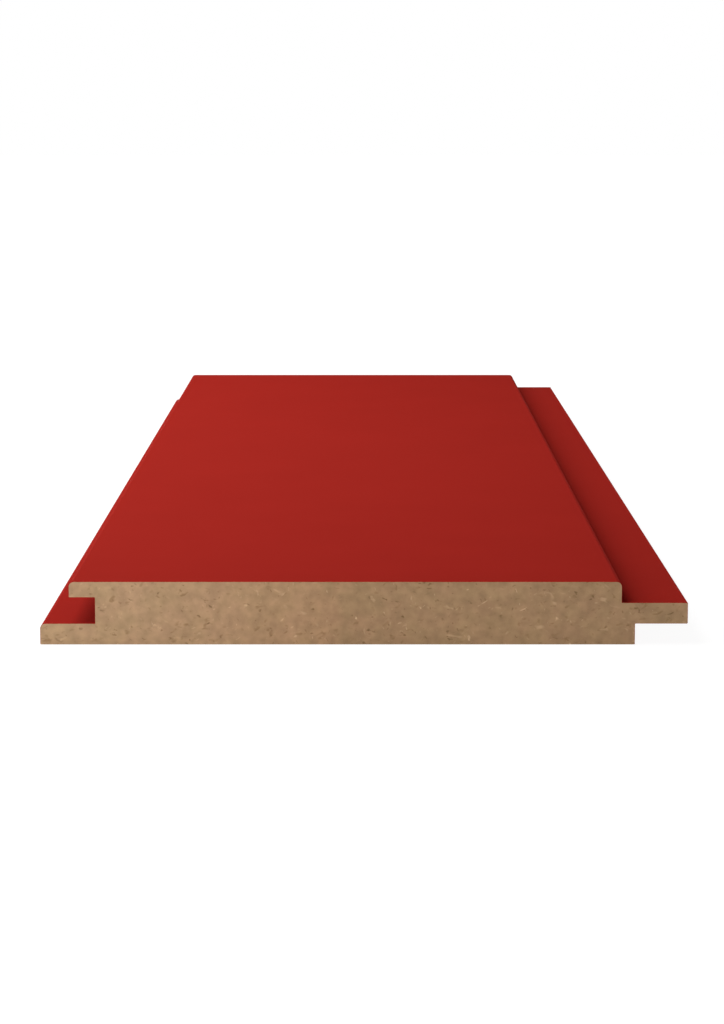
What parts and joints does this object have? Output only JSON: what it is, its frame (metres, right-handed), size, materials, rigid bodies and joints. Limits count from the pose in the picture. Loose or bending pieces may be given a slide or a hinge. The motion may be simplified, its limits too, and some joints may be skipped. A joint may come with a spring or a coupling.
{
  "type": "tongue and groove wall panel",
  "caption": "Flat MDF wall panel, painted on its face, with a lipped groove along one long edge and a stepped tongue along the other, so that a shadow gap shows between fitted panels.",
  "frame": {"origin": "on the plane of the back, under the middle of the panel", "axes": "+X from the groove edge to the tongue edge, +Y along the panel, +Z from the back to the painted face"},
  "size_m": [0.1834, 0.6, 0.018],
  "materials": {
    "painted_mdf": "matte"
  },
  "bodies": {
    "root": {"wall_panel": "painted_mdf"}
  },
  "joints": []
}
